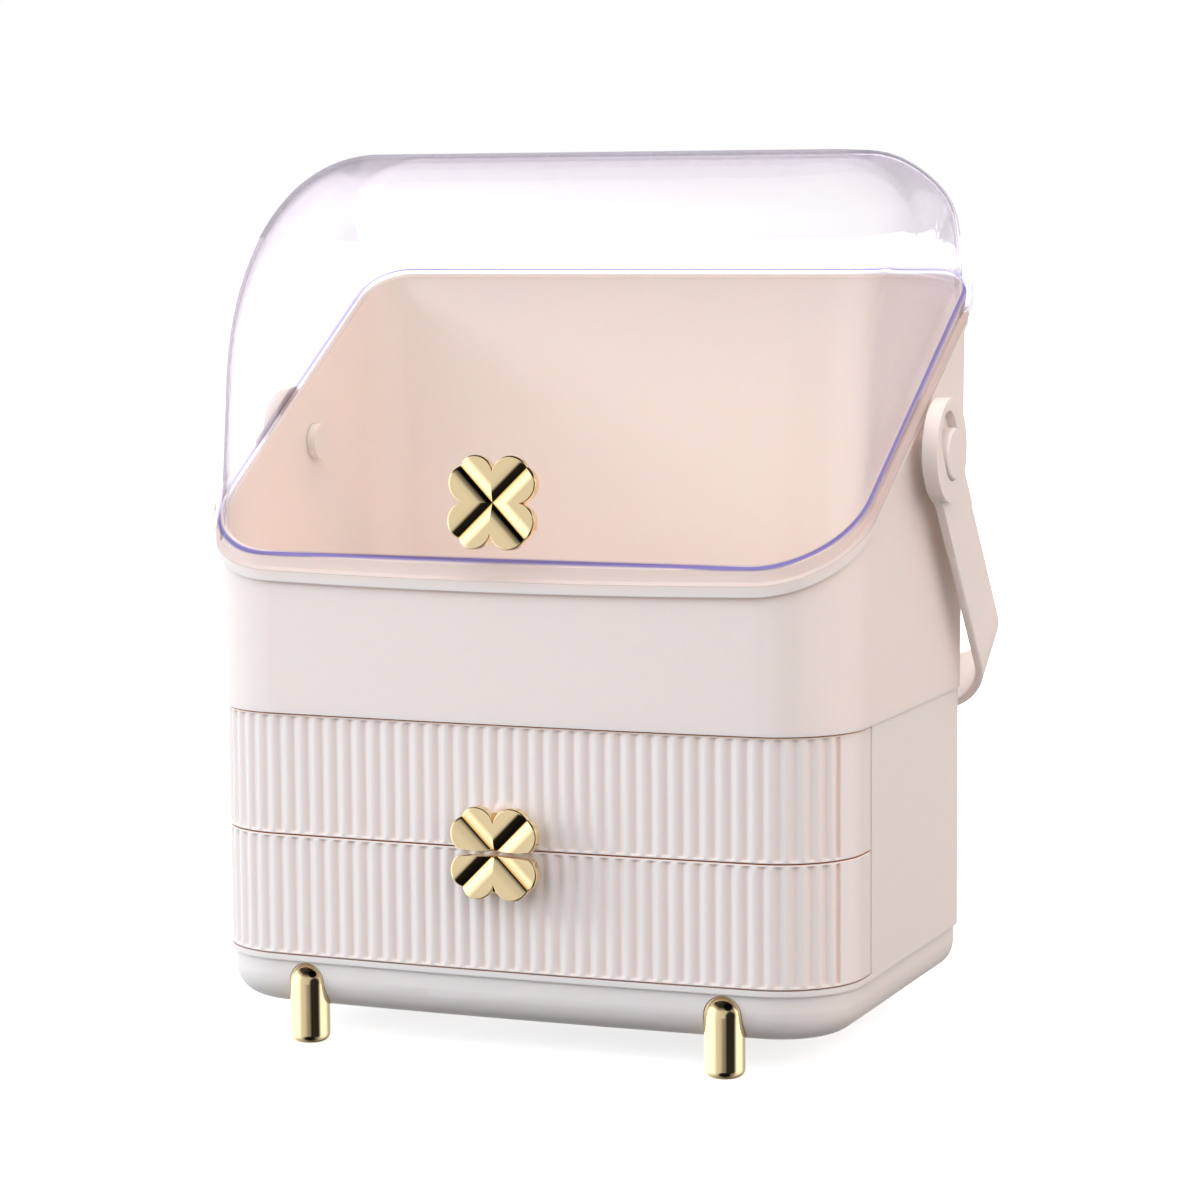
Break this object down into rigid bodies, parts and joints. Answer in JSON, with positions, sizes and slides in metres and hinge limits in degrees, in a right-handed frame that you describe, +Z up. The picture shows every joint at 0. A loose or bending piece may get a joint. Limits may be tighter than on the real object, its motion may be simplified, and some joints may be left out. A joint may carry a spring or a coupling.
{
  "type": "makeup storage case with handle",
  "caption": "Cream makeup storage case with a clear hinged hood, a slanted upper box, fluted wrap-round drawers, clover knobs, capsule feet and a carrying strap.",
  "frame": {"origin": "on the floor, at the centre of the whole footprint, which runs from the front of the drawer knobs to the strap hanging behind the case", "axes": "+X to the right of someone facing the drawers, +Y to the rear, +Z up; the drawers open towards -Y"},
  "size_m": [0.3148, 0.2301, 0.3738],
  "materials": {
    "cream": "soft satin moulded plastic",
    "fluted_cream": "glossy moulded plastic with upright flutes",
    "clear_hood": "clear polished plastic",
    "pale_gold": "polished pale gold plating",
    "steel": "plain steel"
  },
  "bodies": {
    "case": {"base_tray": "cream", "foot_front_left": "pale_gold", "foot_front_right": "pale_gold", "foot_rear_left": "pale_gold", "foot_rear_right": "pale_gold", "foot_screws": "steel", "base_screws": "steel", "drawer_housing": "cream", "drawer_shelf": "cream", "upper_box": "cream", "box_screws": "steel", "hinge_pins": "steel", "handle_stud_left": "cream", "handle_stud_right": "cream", "stud_cap_left": "cream", "stud_cap_right": "cream"},
    "lid": {"lid_hood": "clear_hood", "lid_knob": "pale_gold", "lid_knob_screw": "steel"},
    "handle": {"handle": "cream"},
    "lower_drawer": {"lower_drawer_front": "fluted_cream", "lower_drawer_tray": "cream", "lower_drawer_knob": "pale_gold", "lower_knob_screw": "steel", "lower_panel_screws": "steel"},
    "upper_drawer": {"upper_drawer_front": "fluted_cream", "upper_drawer_tray": "cream", "upper_drawer_knob": "pale_gold", "upper_knob_screw": "steel", "upper_panel_screws": "steel"}
  },
  "joints": [
    {"name": "lid_hinge", "type": "hinge", "parent": "case", "child": "lid", "pos_m": [0, 0.09228, 0.31076], "axis": [1, 0, 0], "range_deg": [-100, 0]},
    {"name": "handle_pivot", "type": "hinge", "parent": "case", "child": "handle", "pos_m": [0, 0.01348, 0.24652], "axis": [1, 0, 0], "range_deg": [0, 141.3]},
    {"name": "lower_drawer_slide", "type": "slide", "parent": "case", "child": "lower_drawer", "axis": [0, -1, 0], "range_m": [0, 0.13]},
    {"name": "upper_drawer_slide", "type": "slide", "parent": "case", "child": "upper_drawer", "axis": [0, -1, 0], "range_m": [0, 0.13]}
  ]
}
